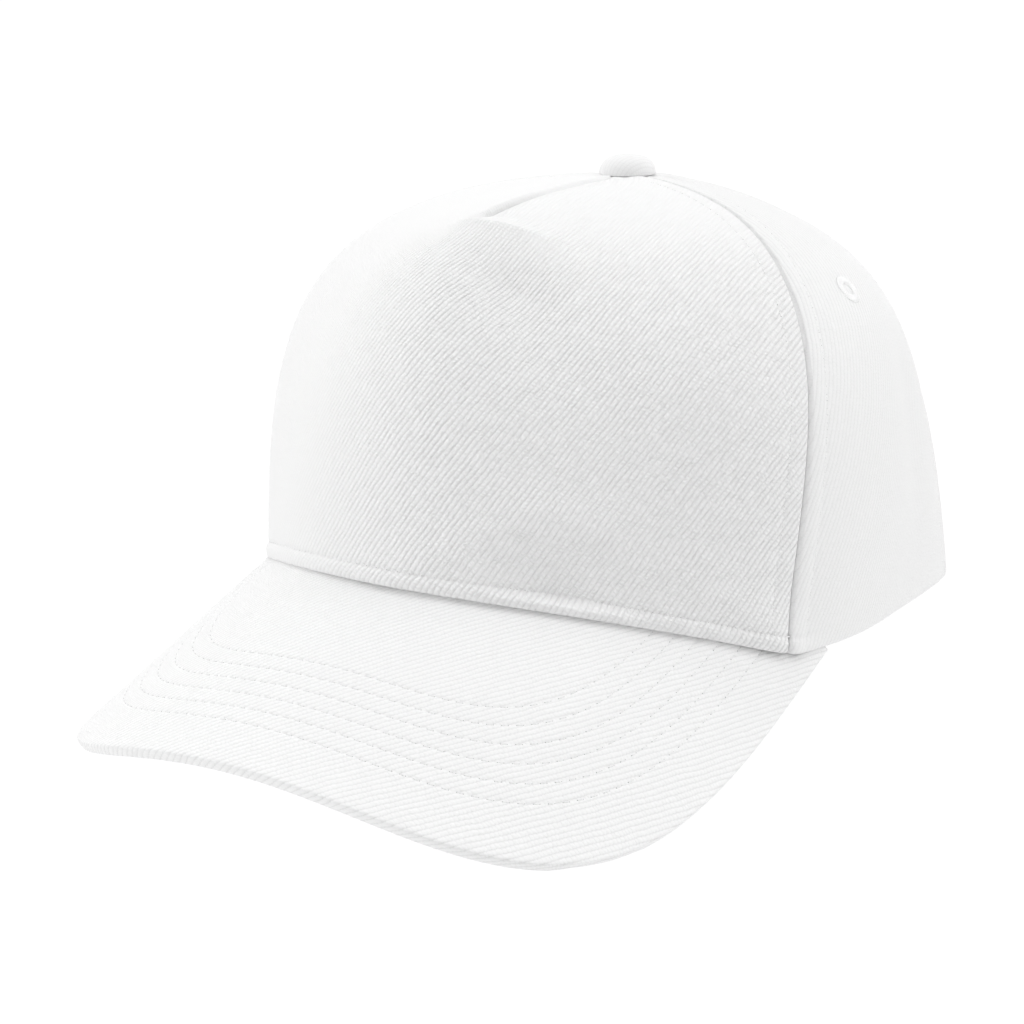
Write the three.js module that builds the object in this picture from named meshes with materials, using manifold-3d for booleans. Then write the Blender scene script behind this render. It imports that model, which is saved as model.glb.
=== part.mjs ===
// Five-panel cap with a curved peak, standing on a table on the peak's two tips and the back of its hem.
// Millimetres, +Z up. The peak points to -Y and the wearer's left is +X.
import * as THREE from 'three';
import { mergeVertices } from 'three/addons/utils/BufferGeometryUtils.js';
import Module from 'manifold-3d';

const wasm = await Module();
wasm.setup();

// Sizes of the whole cap
const CROWN_TOP = 123.7; // height of the crown under its button
const WALL = 1.5; // twill with its seam allowance or backing
const GAP = 0.3; // clear space between pieces that touch
const HEM_GAP = 0.55; // between the hem and the peak's arched face, which facets cut a little short
const SETTLE = 0.5; // how far the soft edges flatten where they stand on the table

// Crown: one row for each meridian, from the front (0 degrees) round the wearer's left to the back (180 degrees)
// reach is the hem's radius, lean and rise place the lower control point from the hem,
// top and drop place the upper one from the crown's axis and top
const MERIDIAN_STEP = 30;
const MERIDIANS = [
  { reach: 99.5, lean: -9.5, rise: 82.5, top: 75.0, drop: 0.5 }, // front
  { reach: 96.0, lean: -9.5, rise: 71.0, top: 71.5, drop: 0.5 },
  { reach: 91.0, lean: 5.0, rise: 70.5, top: 77.5, drop: 0.0 },
  { reach: 80.5, lean: 2.5, rise: 69.5, top: 77.5, drop: 5.0 }, // over the ear
  { reach: 81.5, lean: -4.5, rise: 60.0, top: 67.5, drop: 6.0 },
  { reach: 93.5, lean: -5.0, rise: 59.0, top: 68.5, drop: 5.0 },
  { reach: 101.5, lean: -1.0, rise: 60.0, top: 72.0, drop: 4.0 }, // back
];
const APEX_SHARE = 0.982; // where the panels stop, so that the button's shank passes between them

// Seams, as polar angles in degrees at the hem and at the top
const FRONT_SEAM = { hem: 55.6, top: 69.2 };
const BACK_SEAM = { hem: 123, top: 123 };
const MIDDLE_BACK = { hem: 180, top: 180 };

// Hem behind the peak: it falls from the peak's corner to the table at the back
const HEM_EASE = 1.6;

// Peak: a board bent to an arch that opens towards its free edge
const PEAK_HEIGHT = 40; // of its top face where it meets the front of the crown
const PEAK_SLANT = 24.5; // degrees below level
const PEAK_ARCH = 115; // arch radius at the crown
const PEAK_OPENING = 0.26; // growth of the arch radius for each millimetre forward
const PEAK_LENGTH = 59; // from the crown to the middle of the free edge
const PEAK_CORNER = 63.6; // polar angle where the peak ends at the hem
const PEAK_INSET = 0; // how far the peak's sides stay inside its corners
const PEAK_SQUARENESS = 3.85; // exponent of the free edge's outline
const PEAK_THICKNESS = 3.2;
const PEAK_LIP = 1; // how far its faces stop short of the rounded free edge
const PEAK_TUCK = 4; // how far the peak reaches in under the hem

// Dents and folds of the crown: place and half width in degrees, share of the meridian and half height, depth
const DENTS = [
  { at: 0, share: 0.66, wide: 5, tall: 0.1, depth: -1.6 }, // the point where the front dart ends
  { at: 20, share: 0.06, wide: 7, tall: 0.05, depth: 1.8 }, // hollow over the peak
  { at: 48, share: 0.07, wide: 4, tall: 0.045, depth: 1.2 },
  { at: -36, share: 0.05, wide: 6, tall: 0.05, depth: 1.0 },
  { at: 93, share: 0.27, wide: 6, tall: 0.16, depth: 1.6 }, // slack fold over the ear
];
// Crease of the front dart, from its end up to the button; its width is in degrees at the hem's radius
const DART = { from: 0.64, fade: 0.05, wide: 1.6, least: 0.08, depth: 1.1 };

// Opening at the back and the strap across it
const OPENING_HALF_ANGLE = 21;
const OPENING_SHARE = 0.29; // of the meridian, about 45 mm high
const STRAP_HALF_ANGLE = 26;
const STRAP_HEIGHT = 20;
const STRAP_THICKNESS = 2;

// Button
const BUTTON_RADIUS = 7.4;
const BUTTON_HEIGHT = 5.6;
const BUTTON_WAIST = 0.42; // share of its height where it is widest
const BUTTON_BOX = 0.6; // below 1 makes its profile fuller than an ellipse
const SHANK_RADIUS = 1.4;
const SHANK_LENGTH = 7;

// Stitched eyelets, one on each side and back panel
const EYELET_RADIUS = 4.4;
const EYELET_HOLE = 1.9;
const EYELET_HEIGHT = 1.2;
const EYELETS = { side: { at: 79, share: 0.53 }, back: { at: 150, share: 0.53 } };

// How finely each surface is cut
const DEGREES_PER_COLUMN = 5;
const CROWN_ROWS = 17;
const PEAK_COLUMNS = 40;
const PEAK_ROWS = 9;
const STRAP_COLUMNS = 16;
const ROUND_STEPS = 18;
const EYELET_STEPS = 14;
const EYELET_SIDES = 8;
const BUTTON_STEPS = 9;
const CORRECTIONS = 12; // rounds that bring the peak's flat coordinates to rest

function cloth(name, grey) {
  const color = new THREE.Color(grey, grey, grey);
  return new THREE.MeshStandardMaterial({ name, color, roughness: 0.95, metalness: 0 });
}

const crownTwill = cloth('crown_twill', 0.86);
const peakTwill = cloth('peak_twill', 0.88);
const trimTwill = cloth('trim_twill', 0.84);
const thread = cloth('thread', 0.9);

// Value of one column of the meridian table at a polar angle, by a Catmull-Rom curve that mirrors at front and back
function column(name, degrees) {
  const away = Math.abs(((degrees + 540) % 360) - 180);
  const place = away / MERIDIAN_STEP;
  const last = MERIDIANS.length - 1;
  const row = Math.min(Math.floor(place), last - 1);
  const mirrored = (index) => MERIDIANS[index < 0 ? -index : index > last ? 2 * last - index : index][name];
  const [a, b, c, d] = [row - 1, row, row + 1, row + 2].map(mirrored);
  const f = place - row;
  return 0.5 * (2 * b + (c - a) * f + (2 * a - 5 * b + 4 * c - d) * f * f + (3 * b - a - 3 * c + d) * f ** 3);
}

// Point of the peak's top face from flat coordinates: across, and forward of the crown's front
function peakTop(across, forward) {
  const slant = THREE.MathUtils.degToRad(PEAK_SLANT);
  const arch = PEAK_ARCH + PEAK_OPENING * forward;
  const drop = arch * (1 - Math.cos(across / arch));
  return new THREE.Vector3(
    arch * Math.sin(across / arch),
    -MERIDIANS[0].reach - forward * Math.cos(slant) + drop * Math.sin(slant),
    PEAK_HEIGHT - forward * Math.sin(slant) - drop * Math.cos(slant),
  );
}

function peakNormal(across, forward) {
  const step = 0.1;
  const alongX = peakTop(across + step, forward).sub(peakTop(across - step, forward));
  const alongY = peakTop(across, forward - step).sub(peakTop(across, forward + step));
  return alongX.cross(alongY).normalize();
}

// Flat coordinates of the peak over a point of the plan, by repeated correction
function flatUnder(x, y) {
  const slant = THREE.MathUtils.degToRad(PEAK_SLANT);
  let forward = 0;
  let across = x;
  for (let round = 0; round < CORRECTIONS; round += 1) {
    const arch = PEAK_ARCH + PEAK_OPENING * forward;
    across = arch * Math.asin(x / arch);
    const drop = arch * (1 - Math.cos(across / arch));
    forward = (drop * Math.sin(slant) - MERIDIANS[0].reach - y) / Math.cos(slant);
  }
  return { across, forward };
}

const heightOverPeak = (x, y) => {
  const { across, forward } = flatUnder(x, y);
  return peakTop(across, forward).z + HEM_GAP;
};

const onPlan = (degrees, radius) => {
  const angle = THREE.MathUtils.degToRad(degrees);
  return [radius * Math.sin(angle), -radius * Math.cos(angle)];
};

// Height of the hem, inset inwards from its outer line: on the peak in front, then falling smoothly to the table
function hemHeight(degrees, inset) {
  const away = Math.abs(((degrees + 540) % 360) - 180);
  const onPeak = Math.min(away, PEAK_CORNER);
  const height = heightOverPeak(...onPlan(onPeak, column('reach', onPeak) - inset));
  const eased = Math.max((away - PEAK_CORNER) / (180 - PEAK_CORNER), 0) ** HEM_EASE;
  return height * (1 - eased * eased * (3 - 2 * eased));
}

// Point of the smooth crown at a polar angle, share running from 0 at the hem to 1 under the button
function smoothCrown(degrees, share) {
  const reach = column('reach', degrees);
  const hem = hemHeight(degrees, 0);
  const controls = [
    [reach, hem],
    [reach + column('lean', degrees), hem + column('rise', degrees)],
    [column('top', degrees), CROWN_TOP - column('drop', degrees)],
    [0, CROWN_TOP],
  ];
  const rest = 1 - share;
  const weights = [rest ** 3, 3 * share * rest ** 2, 3 * share ** 2 * rest, share ** 3];
  const radius = controls.reduce((sum, control, index) => sum + control[0] * weights[index], 0);
  const height = controls.reduce((sum, control, index) => sum + control[1] * weights[index], 0);
  return new THREE.Vector3(...onPlan(degrees, radius), height);
}

function crownNormal(degrees, share) {
  const turn = 0.2;
  const climb = 0.002;
  const around = smoothCrown(degrees + turn, share).sub(smoothCrown(degrees - turn, share));
  const up = smoothCrown(degrees, share + climb).sub(smoothCrown(degrees, share - climb));
  return around.cross(up).normalize();
}

// Depth of the dents, folds and dart at a place on the crown
function dentDepth(degrees, share) {
  const away = ((degrees + 540) % 360) - 180;
  const bell = (offset, half) => Math.exp(-((offset / half) ** 2));
  const dents = DENTS.reduce(
    (sum, dent) => sum + dent.depth * bell(away - dent.at, dent.wide) * bell(share - dent.share, dent.tall),
    0,
  );
  const alongDart = THREE.MathUtils.smoothstep(share, DART.from, DART.from + DART.fade);
  return dents + DART.depth * alongDart * bell(away, DART.wide / Math.max(1 - share, DART.least));
}

// Point of the crown's cloth, depth 0 on its outer face
function crownPoint(degrees, share, depth) {
  const inward = depth + dentDepth(degrees, share);
  return smoothCrown(degrees, share).addScaledVector(crownNormal(degrees, share), -inward);
}

// Presses a soft edge flat where it would dip under the table
function settle(point) {
  return new THREE.Vector3(point.x, point.y, Math.max(point.z - SETTLE, 0));
}

// Closed solid through rings of equal length, each ring running up the outer face and back down the inner one
function loft(rings) {
  const count = rings[0].length;
  const triangles = [];
  const quad = (a, b, c, d) => triangles.push(a, b, c, a, c, d);
  const at = (ring, index) => ring * count + (index % count);
  for (let ring = 0; ring < rings.length - 1; ring += 1) {
    for (let index = 0; index < count; index += 1) {
      quad(at(ring, index), at(ring + 1, index), at(ring + 1, index + 1), at(ring, index + 1));
    }
  }
  const last = rings.length - 1;
  for (let low = 0, high = count - 1; low < high; low += 1, high -= 1) {
    if (low + 1 === high) break;
    if (low + 1 === high - 1) {
      triangles.push(at(0, low), at(0, low + 1), at(0, high));
      triangles.push(at(last, high), at(last, low + 1), at(last, low));
    } else {
      quad(at(0, low), at(0, low + 1), at(0, high - 1), at(0, high));
      quad(at(last, high), at(last, high - 1), at(last, low + 1), at(last, low));
    }
  }
  const geometry = new THREE.BufferGeometry();
  geometry.setAttribute('position', new THREE.Float32BufferAttribute(rings.flat().flatMap((p) => [p.x, p.y, p.z]), 3));
  geometry.setIndex(triangles);
  return geometry;
}

function mirrored(geometry) {
  const copy = geometry.clone().applyMatrix4(new THREE.Matrix4().makeScale(-1, 1, 1));
  const index = copy.getIndex();
  for (let start = 0; start < index.count; start += 3) {
    const second = index.getX(start + 1);
    index.setX(start + 1, index.getX(start + 2));
    index.setX(start + 2, second);
  }
  return copy;
}

function toManifold(geometry) {
  const bare = geometry.clone();
  bare.deleteAttribute('normal');
  bare.deleteAttribute('uv');
  const merged = mergeVertices(bare, 1e-5);
  return new wasm.Manifold(new wasm.Mesh({
    numProp: 3,
    vertProperties: new Float32Array(merged.getAttribute('position').array),
    triVerts: new Uint32Array(merged.getIndex().array),
  }));
}

function fromManifold(solid) {
  const mesh = solid.getMesh();
  const geometry = new THREE.BufferGeometry();
  geometry.setAttribute('position', new THREE.BufferAttribute(new Float32Array(mesh.vertProperties), 3));
  geometry.setIndex(new THREE.BufferAttribute(new Uint32Array(mesh.triVerts), 1));
  return geometry;
}

// Turns a shape made round +Y so that it stands on the crown at a place, its middle raised along the normal
function standOnCrown(geometry, place, raise) {
  const normal = crownNormal(place.at, place.share);
  const turn = new THREE.Quaternion().setFromUnitVectors(new THREE.Vector3(0, 1, 0), normal);
  const foot = settle(crownPoint(place.at, place.share, 0)).addScaledVector(normal, raise);
  return geometry.applyQuaternion(turn).translate(foot.x, foot.y, foot.z);
}

// One panel between two seams, open below bottomShare(degrees) where the hem is cut away
function panel(left, right, bottomShare, place) {
  const seamAt = (seam, share) => seam.hem + (seam.top - seam.hem) * share;
  const columns = Math.ceil((right.hem - left.hem) / DEGREES_PER_COLUMN);
  const rings = [];
  for (let step = 0; step <= columns; step += 1) {
    const fraction = step / columns;
    const outer = [];
    const inner = [];
    const low = bottomShare(left.hem + (right.hem - left.hem) * fraction);
    for (let row = 0; row <= CROWN_ROWS; row += 1) {
      const share = low + (APEX_SHARE - low) * (row / CROWN_ROWS);
      const radius = Math.hypot(smoothCrown(left.hem, share).x, smoothCrown(left.hem, share).y);
      const clear = THREE.MathUtils.radToDeg(GAP / 2 / radius);
      const start = seamAt(left, share) + clear;
      const degrees = start + (seamAt(right, share) - clear - start) * fraction;
      outer.push(crownPoint(degrees, share, 0));
      const inside = crownPoint(degrees, share, WALL);
      if (share === 0) inside.z = hemHeight(degrees, WALL);
      inner.push(inside);
    }
    rings.push([...outer, ...inner.reverse()].map(settle));
  }
  const sheet = loft(rings);
  if (!place) return sheet;
  const punch = standOnCrown(new THREE.CylinderGeometry(EYELET_HOLE, EYELET_HOLE, WALL * 4, ROUND_STEPS), place, 0);
  return fromManifold(toManifold(sheet).subtract(toManifold(punch)));
}

const wholeHem = () => 0;

// The back panels' hem rises over the round opening
function roundOpening(degrees) {
  const across = (180 - degrees) / OPENING_HALF_ANGLE;
  return across < 1 ? OPENING_SHARE * Math.sqrt(1 - across ** 2) : 0;
}

// Free edge of the peak at an angle from its middle, a superellipse drawn in by inset
function peakOutline(degrees, inset) {
  const corner = flatUnder(...onPlan(PEAK_CORNER, column('reach', PEAK_CORNER)));
  const half = corner.across - PEAK_INSET - inset;
  const length = PEAK_LENGTH - corner.forward - inset;
  const angle = THREE.MathUtils.degToRad(degrees);
  const power = PEAK_SQUARENESS;
  const radius = (Math.abs(Math.sin(angle) / half) ** power + Math.abs(Math.cos(angle) / length) ** power) ** (-1 / power);
  return { across: radius * Math.sin(angle), forward: corner.forward + radius * Math.cos(angle) };
}

function peakBoard() {
    const rings = [];
  for (let step = 0; step <= PEAK_COLUMNS; step += 1) {
    const side = (step / PEAK_COLUMNS) * 2 - 1;
    const polar = PEAK_CORNER * side;
    const root = flatUnder(...onPlan(polar, column('reach', polar) - PEAK_TUCK));
    const lip = peakOutline(90 * side, PEAK_LIP);
    const rim = peakOutline(90 * side, 0);
    const place = (fraction, depth) => {
      const across = lip.across + (root.across - lip.across) * fraction;
      const forward = lip.forward + (root.forward - lip.forward) * fraction;
      return peakTop(across, forward).addScaledVector(peakNormal(across, forward), -depth);
    };
    const top = [];
    const bottom = [];
    for (let row = 0; row <= PEAK_ROWS; row += 1) {
      top.push(place(1 - row / PEAK_ROWS, 0));
      bottom.push(place(row / PEAK_ROWS, PEAK_THICKNESS));
    }
    const normal = peakNormal(rim.across, rim.forward);
    const edge = peakTop(rim.across, rim.forward).addScaledVector(normal, -PEAK_THICKNESS / 2);
    rings.push([...top, edge, ...bottom].map(settle));
  }
  return loft(rings.reverse());
}

// Strap across the opening, tucked in behind the back panels at both ends
function strap() {
  const rings = [];
  for (let step = 0; step <= STRAP_COLUMNS; step += 1) {
    const degrees = 180 + STRAP_HALF_ANGLE * ((2 * step) / STRAP_COLUMNS - 1);
    const inset = WALL + GAP;
    const low = crownPoint(degrees, 0, inset);
    const rise = crownPoint(degrees, OPENING_SHARE, inset).sub(low);
    const high = low.clone().addScaledVector(rise, STRAP_HEIGHT / rise.length());
    const inward = crownNormal(degrees, 0).setZ(0).normalize().multiplyScalar(-STRAP_THICKNESS);
    low.z = hemHeight(degrees, inset);
    rings.push([low, high, high.clone().add(inward), low.clone().add(inward)].map(settle));
  }
  return loft(rings);
}

// Covered button: a flattened dome on a shank that passes between the panels
function button() {
  const points = [new THREE.Vector2(0, -SHANK_LENGTH), new THREE.Vector2(SHANK_RADIUS, -SHANK_LENGTH)];
  points.push(new THREE.Vector2(SHANK_RADIUS, GAP));
  const waist = BUTTON_HEIGHT * BUTTON_WAIST;
  for (let step = 1; step < BUTTON_STEPS; step += 1) {
    const angle = -Math.PI / 2 + (Math.PI * step) / BUTTON_STEPS;
    const half = angle < 0 ? waist : BUTTON_HEIGHT - waist;
    const radius = BUTTON_RADIUS * Math.cos(angle) ** BUTTON_BOX;
    points.push(new THREE.Vector2(radius, GAP + waist + half * Math.sin(angle)));
  }
  points.push(new THREE.Vector2(0, GAP + BUTTON_HEIGHT));
  const round = new THREE.LatheGeometry(points, ROUND_STEPS);
  return round.rotateX(Math.PI / 2).translate(0, 0, CROWN_TOP - SETTLE);
}

// Ring of close stitches round a hole
function eyelet(place) {
  const points = [];
  const half = (EYELET_RADIUS - EYELET_HOLE) / 2;
  for (let step = 0; step <= EYELET_SIDES; step += 1) {
    const angle = (Math.PI * 2 * step) / EYELET_SIDES;
    points.push(new THREE.Vector2(EYELET_HOLE + half - half * Math.cos(angle), (-EYELET_HEIGHT / 2) * Math.sin(angle)));
  }
  const ring = new THREE.LatheGeometry(points, EYELET_STEPS);
  return standOnCrown(ring, place, EYELET_HEIGHT / 2 + GAP);
}

const cap = new THREE.Group();

function piece(name, geometry, material) {
  const mesh = new THREE.Mesh(geometry, material);
  mesh.name = name;
  cap.add(mesh);
}

// A pair of pieces, the wearer's left one and its mirror image
function pair(name, geometry, material) {
  piece(`${name}_left`, geometry, material);
  piece(`${name}_right`, mirrored(geometry), material);
}

const frontRight = { hem: -FRONT_SEAM.hem, top: -FRONT_SEAM.top };
piece('front_panel', panel(frontRight, FRONT_SEAM, wholeHem), crownTwill);
pair('side_panel', panel(FRONT_SEAM, BACK_SEAM, wholeHem, EYELETS.side), crownTwill);
pair('back_panel', panel(BACK_SEAM, MIDDLE_BACK, roundOpening, EYELETS.back), crownTwill);
piece('peak', peakBoard(), peakTwill);
piece('back_strap', strap(), trimTwill);
piece('button', button(), trimTwill);
pair('side_eyelet', eyelet(EYELETS.side), thread);
pair('back_eyelet', eyelet(EYELETS.back), thread);

// The origin is on the table, under the middle of the whole cap
const middle = new THREE.Box3().setFromObject(cap).getCenter(new THREE.Vector3());
cap.position.set(-middle.x, -middle.y, 0);

export default cap;
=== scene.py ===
# %% [markdown]
# A five-panel cap in white twill.
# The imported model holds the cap's real size: a crown of five sewn panels, a curved peak, a strap over
# the opening at the back, a covered button and four stitched eyelets.
# This lesson dresses each of those pieces. It starts by loading them, and it measures from them.

# %% The frame
import math
import bmesh
import bpy
import numpy as np
from mathutils import Matrix, Vector


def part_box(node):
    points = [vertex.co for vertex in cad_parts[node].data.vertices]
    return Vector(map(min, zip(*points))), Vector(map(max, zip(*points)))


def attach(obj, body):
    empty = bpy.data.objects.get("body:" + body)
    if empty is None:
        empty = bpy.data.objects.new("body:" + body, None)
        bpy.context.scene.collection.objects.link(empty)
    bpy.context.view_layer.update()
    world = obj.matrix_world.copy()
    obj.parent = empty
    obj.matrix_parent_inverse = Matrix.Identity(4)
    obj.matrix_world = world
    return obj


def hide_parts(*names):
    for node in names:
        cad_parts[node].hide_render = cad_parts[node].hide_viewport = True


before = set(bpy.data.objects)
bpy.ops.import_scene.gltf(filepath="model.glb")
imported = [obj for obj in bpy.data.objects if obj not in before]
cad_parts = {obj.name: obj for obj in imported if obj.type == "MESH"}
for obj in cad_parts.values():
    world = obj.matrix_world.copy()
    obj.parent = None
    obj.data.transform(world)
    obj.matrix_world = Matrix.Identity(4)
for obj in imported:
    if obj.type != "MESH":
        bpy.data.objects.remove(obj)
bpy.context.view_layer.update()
button_low, button_high = (np.array(corner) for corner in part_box("button"))
CROWN_AXIS = (button_low + button_high) / 2  # the crown stands round the button's axis
MM = 0.001
print("frame loaded,", len(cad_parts), "nodes; crown axis at y =", round(float(CROWN_AXIS[1]), 4))

# %% [markdown]
# The crown is one soft dome that the panels share, so its form is worked out once, as a function.
# A sewn crown is easiest to describe the way a hatter's block is: by the profiles that run up it.
# Seven profiles from the front to the back are enough, and a smooth curve through each column of the table
# gives every profile between them. The wearer's right mirrors the left.

# %% Profiles of the crown
CROWN_TOP = 124.4  # millimetres, like every size in this file
SETTLE = 0.5  # how far the soft edges flatten on the table
MERIDIAN_STEP = 30  # degrees, from the front (0) round the wearer's left to the back (180)
MERIDIANS = {
    # reach is the hem's radius; lean and rise place the lower control point; top and drop the upper one
    "reach": [99.5, 96.0, 91.0, 80.5, 81.5, 93.5, 101.5],
    "lean": [-9.5, -9.5, 5.0, 2.5, -4.5, -5.0, -1.0],
    "rise": [82.5, 71.0, 70.5, 69.5, 60.0, 59.0, 60.0],
    "top": [75.0, 71.5, 77.5, 77.5, 67.5, 68.5, 72.0],
    "drop": [0.5, 0.5, 0.0, 5.0, 6.0, 5.0, 4.0],
}
APEX_SHARE = 0.99  # the panels stop short of the axis, under the button


def away_from_front(degrees):
    return (np.asarray(degrees, float) + 540) % 360 - 180


def column(name, degrees):
    """One column of the table at any angle, by a Catmull-Rom curve that mirrors at front and back."""
    values = np.array(MERIDIANS[name])
    last = len(values) - 1
    place = np.abs(away_from_front(degrees)) / MERIDIAN_STEP
    row = np.minimum(np.floor(place), last - 1).astype(int)
    f = place - row
    near = [last - np.abs(last - np.abs(row + step)) for step in (-1, 0, 1, 2)]
    a, b, c, d = (values[index] for index in near)
    square, cube = 2 * a - 5 * b + 4 * c - d, 3 * b - a - 3 * c + d
    return 0.5 * (2 * b + (c - a) * f + square * f**2 + cube * f**3)


print("hem radius at front, side and back:", [round(float(column("reach", a)), 1) for a in (0, 90, 180)])

# %% [markdown]
# The peak is a flat board that is bent to an arch. A point of it is easiest to name on the flat board,
# as a distance across and a distance forward, and the bending is a formula.
# The arch opens a little towards the free edge, as a real peak does.

# %% The bent board
PEAK_HEIGHT = 40
PEAK_SLANT = math.radians(24.5)
PEAK_ARCH = 115
PEAK_OPENING = 0.26
PEAK_LENGTH = 59
PEAK_CORNER = 63.6  # polar angle where the peak ends at the hem
PEAK_SQUARENESS = 3.85
PEAK_THICKNESS = 3.2
HEM_GAP = 0.55
HEM_EASE = 1.6
FLAT_ROUNDS = 12  # rounds that bring the flat coordinates to rest
FRONT_REACH = MERIDIANS["reach"][0]


def peak_top(across, forward):
    arch = PEAK_ARCH + PEAK_OPENING * forward
    drop = arch * (1 - np.cos(across / arch))
    x = arch * np.sin(across / arch)
    y = -FRONT_REACH - forward * math.cos(PEAK_SLANT) + drop * math.sin(PEAK_SLANT)
    z = PEAK_HEIGHT - forward * math.sin(PEAK_SLANT) - drop * math.cos(PEAK_SLANT)
    return np.stack([x, y, z], axis=-1)


def unit(vectors):
    return vectors / np.linalg.norm(vectors, axis=-1, keepdims=True)


def peak_normal(across, forward):
    step = 0.1
    along_x = peak_top(across + step, forward) - peak_top(across - step, forward)
    along_y = peak_top(across, forward - step) - peak_top(across, forward + step)
    return unit(np.cross(along_x, along_y))


def flat_under(x, y):
    """Where the bent board lies over a point of the plan, named on the flat board."""
    forward = np.zeros_like(x)
    for _ in range(FLAT_ROUNDS):
        arch = PEAK_ARCH + PEAK_OPENING * forward
        across = arch * np.arcsin(np.clip(x / arch, -1, 1))
        drop = arch * (1 - np.cos(across / arch))
        forward = (drop * math.sin(PEAK_SLANT) - FRONT_REACH - y) / math.cos(PEAK_SLANT)
    return across, forward


def on_plan(degrees, radius):
    angle = np.radians(degrees)
    return radius * np.sin(angle), -radius * np.cos(angle)


corner_across, corner_forward = flat_under(*on_plan(np.array([PEAK_CORNER]), column("reach", PEAK_CORNER)))
PEAK_HALF = float(corner_across[0])
PEAK_BACK = float(corner_forward[0])


def peak_outline(degrees, inset):
    """Free edge of the peak, drawn in by inset: a superellipse round the middle between the corners."""
    half = PEAK_HALF - inset
    length = PEAK_LENGTH - PEAK_BACK - inset
    angle = np.radians(degrees)
    power = PEAK_SQUARENESS
    across, forward = np.abs(np.sin(angle) / half), np.abs(np.cos(angle) / length)
    radius = (across**power + forward**power) ** (-1 / power)
    return radius * np.sin(angle), PEAK_BACK + radius * np.cos(angle)


print("peak", round(2 * PEAK_HALF, 1), "mm round its arch and", PEAK_LENGTH, "mm long in the middle")

# %% [markdown]
# With the peak known, the hem is known too: in front it follows the peak's arch, and behind the peak's
# corner it falls in a smooth line to the table. A point of the crown is then a polar angle and a share
# of the way up, from 0 at the hem to 1 under the button.

# %% The crown as a function
def hem_height(degrees, inset=0.0):
    away = np.abs(away_from_front(degrees))
    on_peak = np.minimum(away, PEAK_CORNER)
    flat = flat_under(*on_plan(on_peak, column("reach", on_peak) - inset))
    height = peak_top(*flat)[..., 2] + HEM_GAP
    eased = np.maximum((away - PEAK_CORNER) / (180 - PEAK_CORNER), 0) ** HEM_EASE
    return height * (1 - eased * eased * (3 - 2 * eased))


def smooth_crown(degrees, share):
    reach = column("reach", degrees)
    hem = hem_height(degrees)
    radii = [reach, reach + column("lean", degrees), column("top", degrees), 0 * reach]
    heights = [hem, hem + column("rise", degrees), CROWN_TOP - column("drop", degrees), CROWN_TOP + 0 * hem]
    rest = 1 - share
    weights = [rest**3, 3 * share * rest**2, 3 * share**2 * rest, share**3]
    radius = sum(r * w for r, w in zip(radii, weights))
    height = sum(h * w for h, w in zip(heights, weights))
    return np.stack([*on_plan(degrees, radius), height], axis=-1)


def crown_normal(degrees, share):
    turn = 0.2
    climb = 0.002
    around = smooth_crown(degrees + turn, share) - smooth_crown(degrees - turn, share)
    up = smooth_crown(degrees, share + climb) - smooth_crown(degrees, share - climb)
    return unit(np.cross(around, up))


def to_table(points):
    """Crown millimetres to metres on the table; an edge that would dip under it is pressed flat."""
    moved = np.array(points, float)
    moved[..., 2] = np.maximum(moved[..., 2] - SETTLE, 0)
    return moved * MM + np.array([CROWN_AXIS[0], CROWN_AXIS[1], 0])


print("hem height at front, corner and back:", np.round(hem_height(np.array([0, PEAK_CORNER, 180])), 1))

# %% [markdown]
# Every cloth piece starts as a flat grid, the way every panel starts as flat cloth, and each point of the
# grid is carried to its place by a function. The same function gives the point's place on the cut cloth,
# which is kept as the UV map in metres, so that the weave keeps its real size and direction.
# A grid is best fine where the cloth turns sharply, so its lines are crowded at seams, dart and hem.

# %% Shaping a grid
CROWDING = 0.82  # 0 keeps the lines even, 1 lets them meet at the stations


def crowd(fraction, stations=(0.0, 1.0)):
    """Moves even fractions so that they lie close together at each station."""
    crowded = np.array(fraction, float)
    for low, high in zip(stations, stations[1:]):
        inside = (fraction >= low) & (fraction <= high)
        local = (fraction[inside] - low) / (high - low)
        eased = (1 - np.cos(math.pi * local)) / 2
        crowded[inside] = low + (high - low) * (local + (eased - local) * CROWDING)
    return crowded


def to_mesh(name, shape):
    """Writes a bmesh to a mesh and frees it."""
    mesh = bpy.data.meshes.new(name)
    shape.to_mesh(mesh)
    shape.free()
    return mesh


def add_object(name, data):
    thing = bpy.data.objects.new(name, data)
    bpy.context.scene.collection.objects.link(thing)
    return thing


PATTERN_STEPS = 40


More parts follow.
